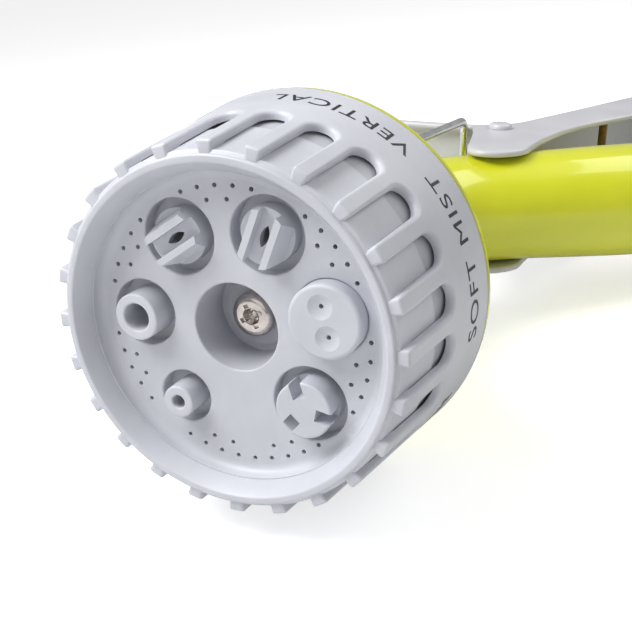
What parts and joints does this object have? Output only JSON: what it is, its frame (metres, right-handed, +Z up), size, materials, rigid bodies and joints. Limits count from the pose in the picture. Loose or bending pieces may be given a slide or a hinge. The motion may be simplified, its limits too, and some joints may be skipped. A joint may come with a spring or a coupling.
{
  "type": "hose spray nozzle",
  "caption": "Hand-held garden hose nozzle: slanted round dial with selectable spray patterns, metal handle, rear trigger with wire hold clip, threaded hose inlet.",
  "frame": {"origin": "centre of the hose inlet's mouth", "axes": "+Z up along the handle, away from the hose; sprays towards -Y and upwards; X across"},
  "size_m": [0.0714, 0.1512, 0.2069],
  "materials": {
    "grey_abs": "satin light grey moulded plastic",
    "grey_inner": "plain grey moulded plastic, unseen",
    "lime_enamel": "glossy lime green enamel on die-cast metal",
    "lever_grey": "satin light grey enamel",
    "wire": "bright drawn stainless wire",
    "screw_chrome": "nickel-plated steel",
    "spring_steel": "spring steel",
    "brass": "machined brass",
    "brown_pin": "brown oxidised brass",
    "black_rubber": "matte black rubber"
  },
  "bodies": {
    "handle": {"handle_shell": "lime_enamel", "hub_insert": "grey_inner", "outlet_seal": "black_rubber", "seal_spring": "spring_steel", "detent_ball": "screw_chrome", "detent_spring": "spring_steel", "dial_screw": "screw_chrome", "screw_washer": "grey_inner", "hub_ring": "black_rubber", "valve_cage": "brass", "gland_nut": "brass", "gland_ring": "black_rubber", "pivot_pin": "lever_grey", "inlet_collar": "grey_abs", "hose_washer": "black_rubber", "filter_screen": "spring_steel"},
    "dial": {"dial_cover": "grey_abs", "nozzle_plate": "grey_abs", "dial_manifold": "grey_inner", "big_bore_tip": "grey_abs", "small_jet_tip": "grey_abs", "cone_tip": "grey_abs", "mist_tip": "grey_abs", "vertical_fan_tip": "grey_abs", "flat_fan_tip": "grey_abs", "cone_swirl": "grey_inner", "mist_swirl": "grey_inner"},
    "trigger": {"trigger_lever": "lever_grey", "stem_cross_pin": "brown_pin"},
    "valve": {"valve_stem": "brass", "poppet_seal": "black_rubber", "valve_spring": "spring_steel"},
    "clip": {"lock_clip": "wire"}
  },
  "joints": [
    {"name": "dial_turn", "type": "hinge", "parent": "handle", "child": "dial", "pos_m": [0, -0.06429, 0.17845], "axis": [0, -0.7986, 0.6018], "continuous": true},
    {"name": "trigger_squeeze", "type": "hinge", "parent": "handle", "child": "trigger", "pos_m": [0, 0.022, 0.095], "axis": [-1, 0, 0], "range_deg": [0, 9], "stiffness_Nm_per_rad": 2, "springref_deg": -11.46},
    {"name": "valve_slide", "type": "slide", "parent": "handle", "child": "valve", "axis": [0, -1, 0], "range_m": [0, 0.00558], "deforming": ["valve_spring"]},
    {"name": "clip_swing", "type": "hinge", "parent": "handle", "child": "clip", "pos_m": [0, 0, 0.127], "axis": [1, 0, 0], "range_deg": [0, 30]}
  ],
  "couplings": [
    {"joint": "valve_slide", "follows": "trigger_squeeze", "m_per_rad": 0.035523}
  ]
}
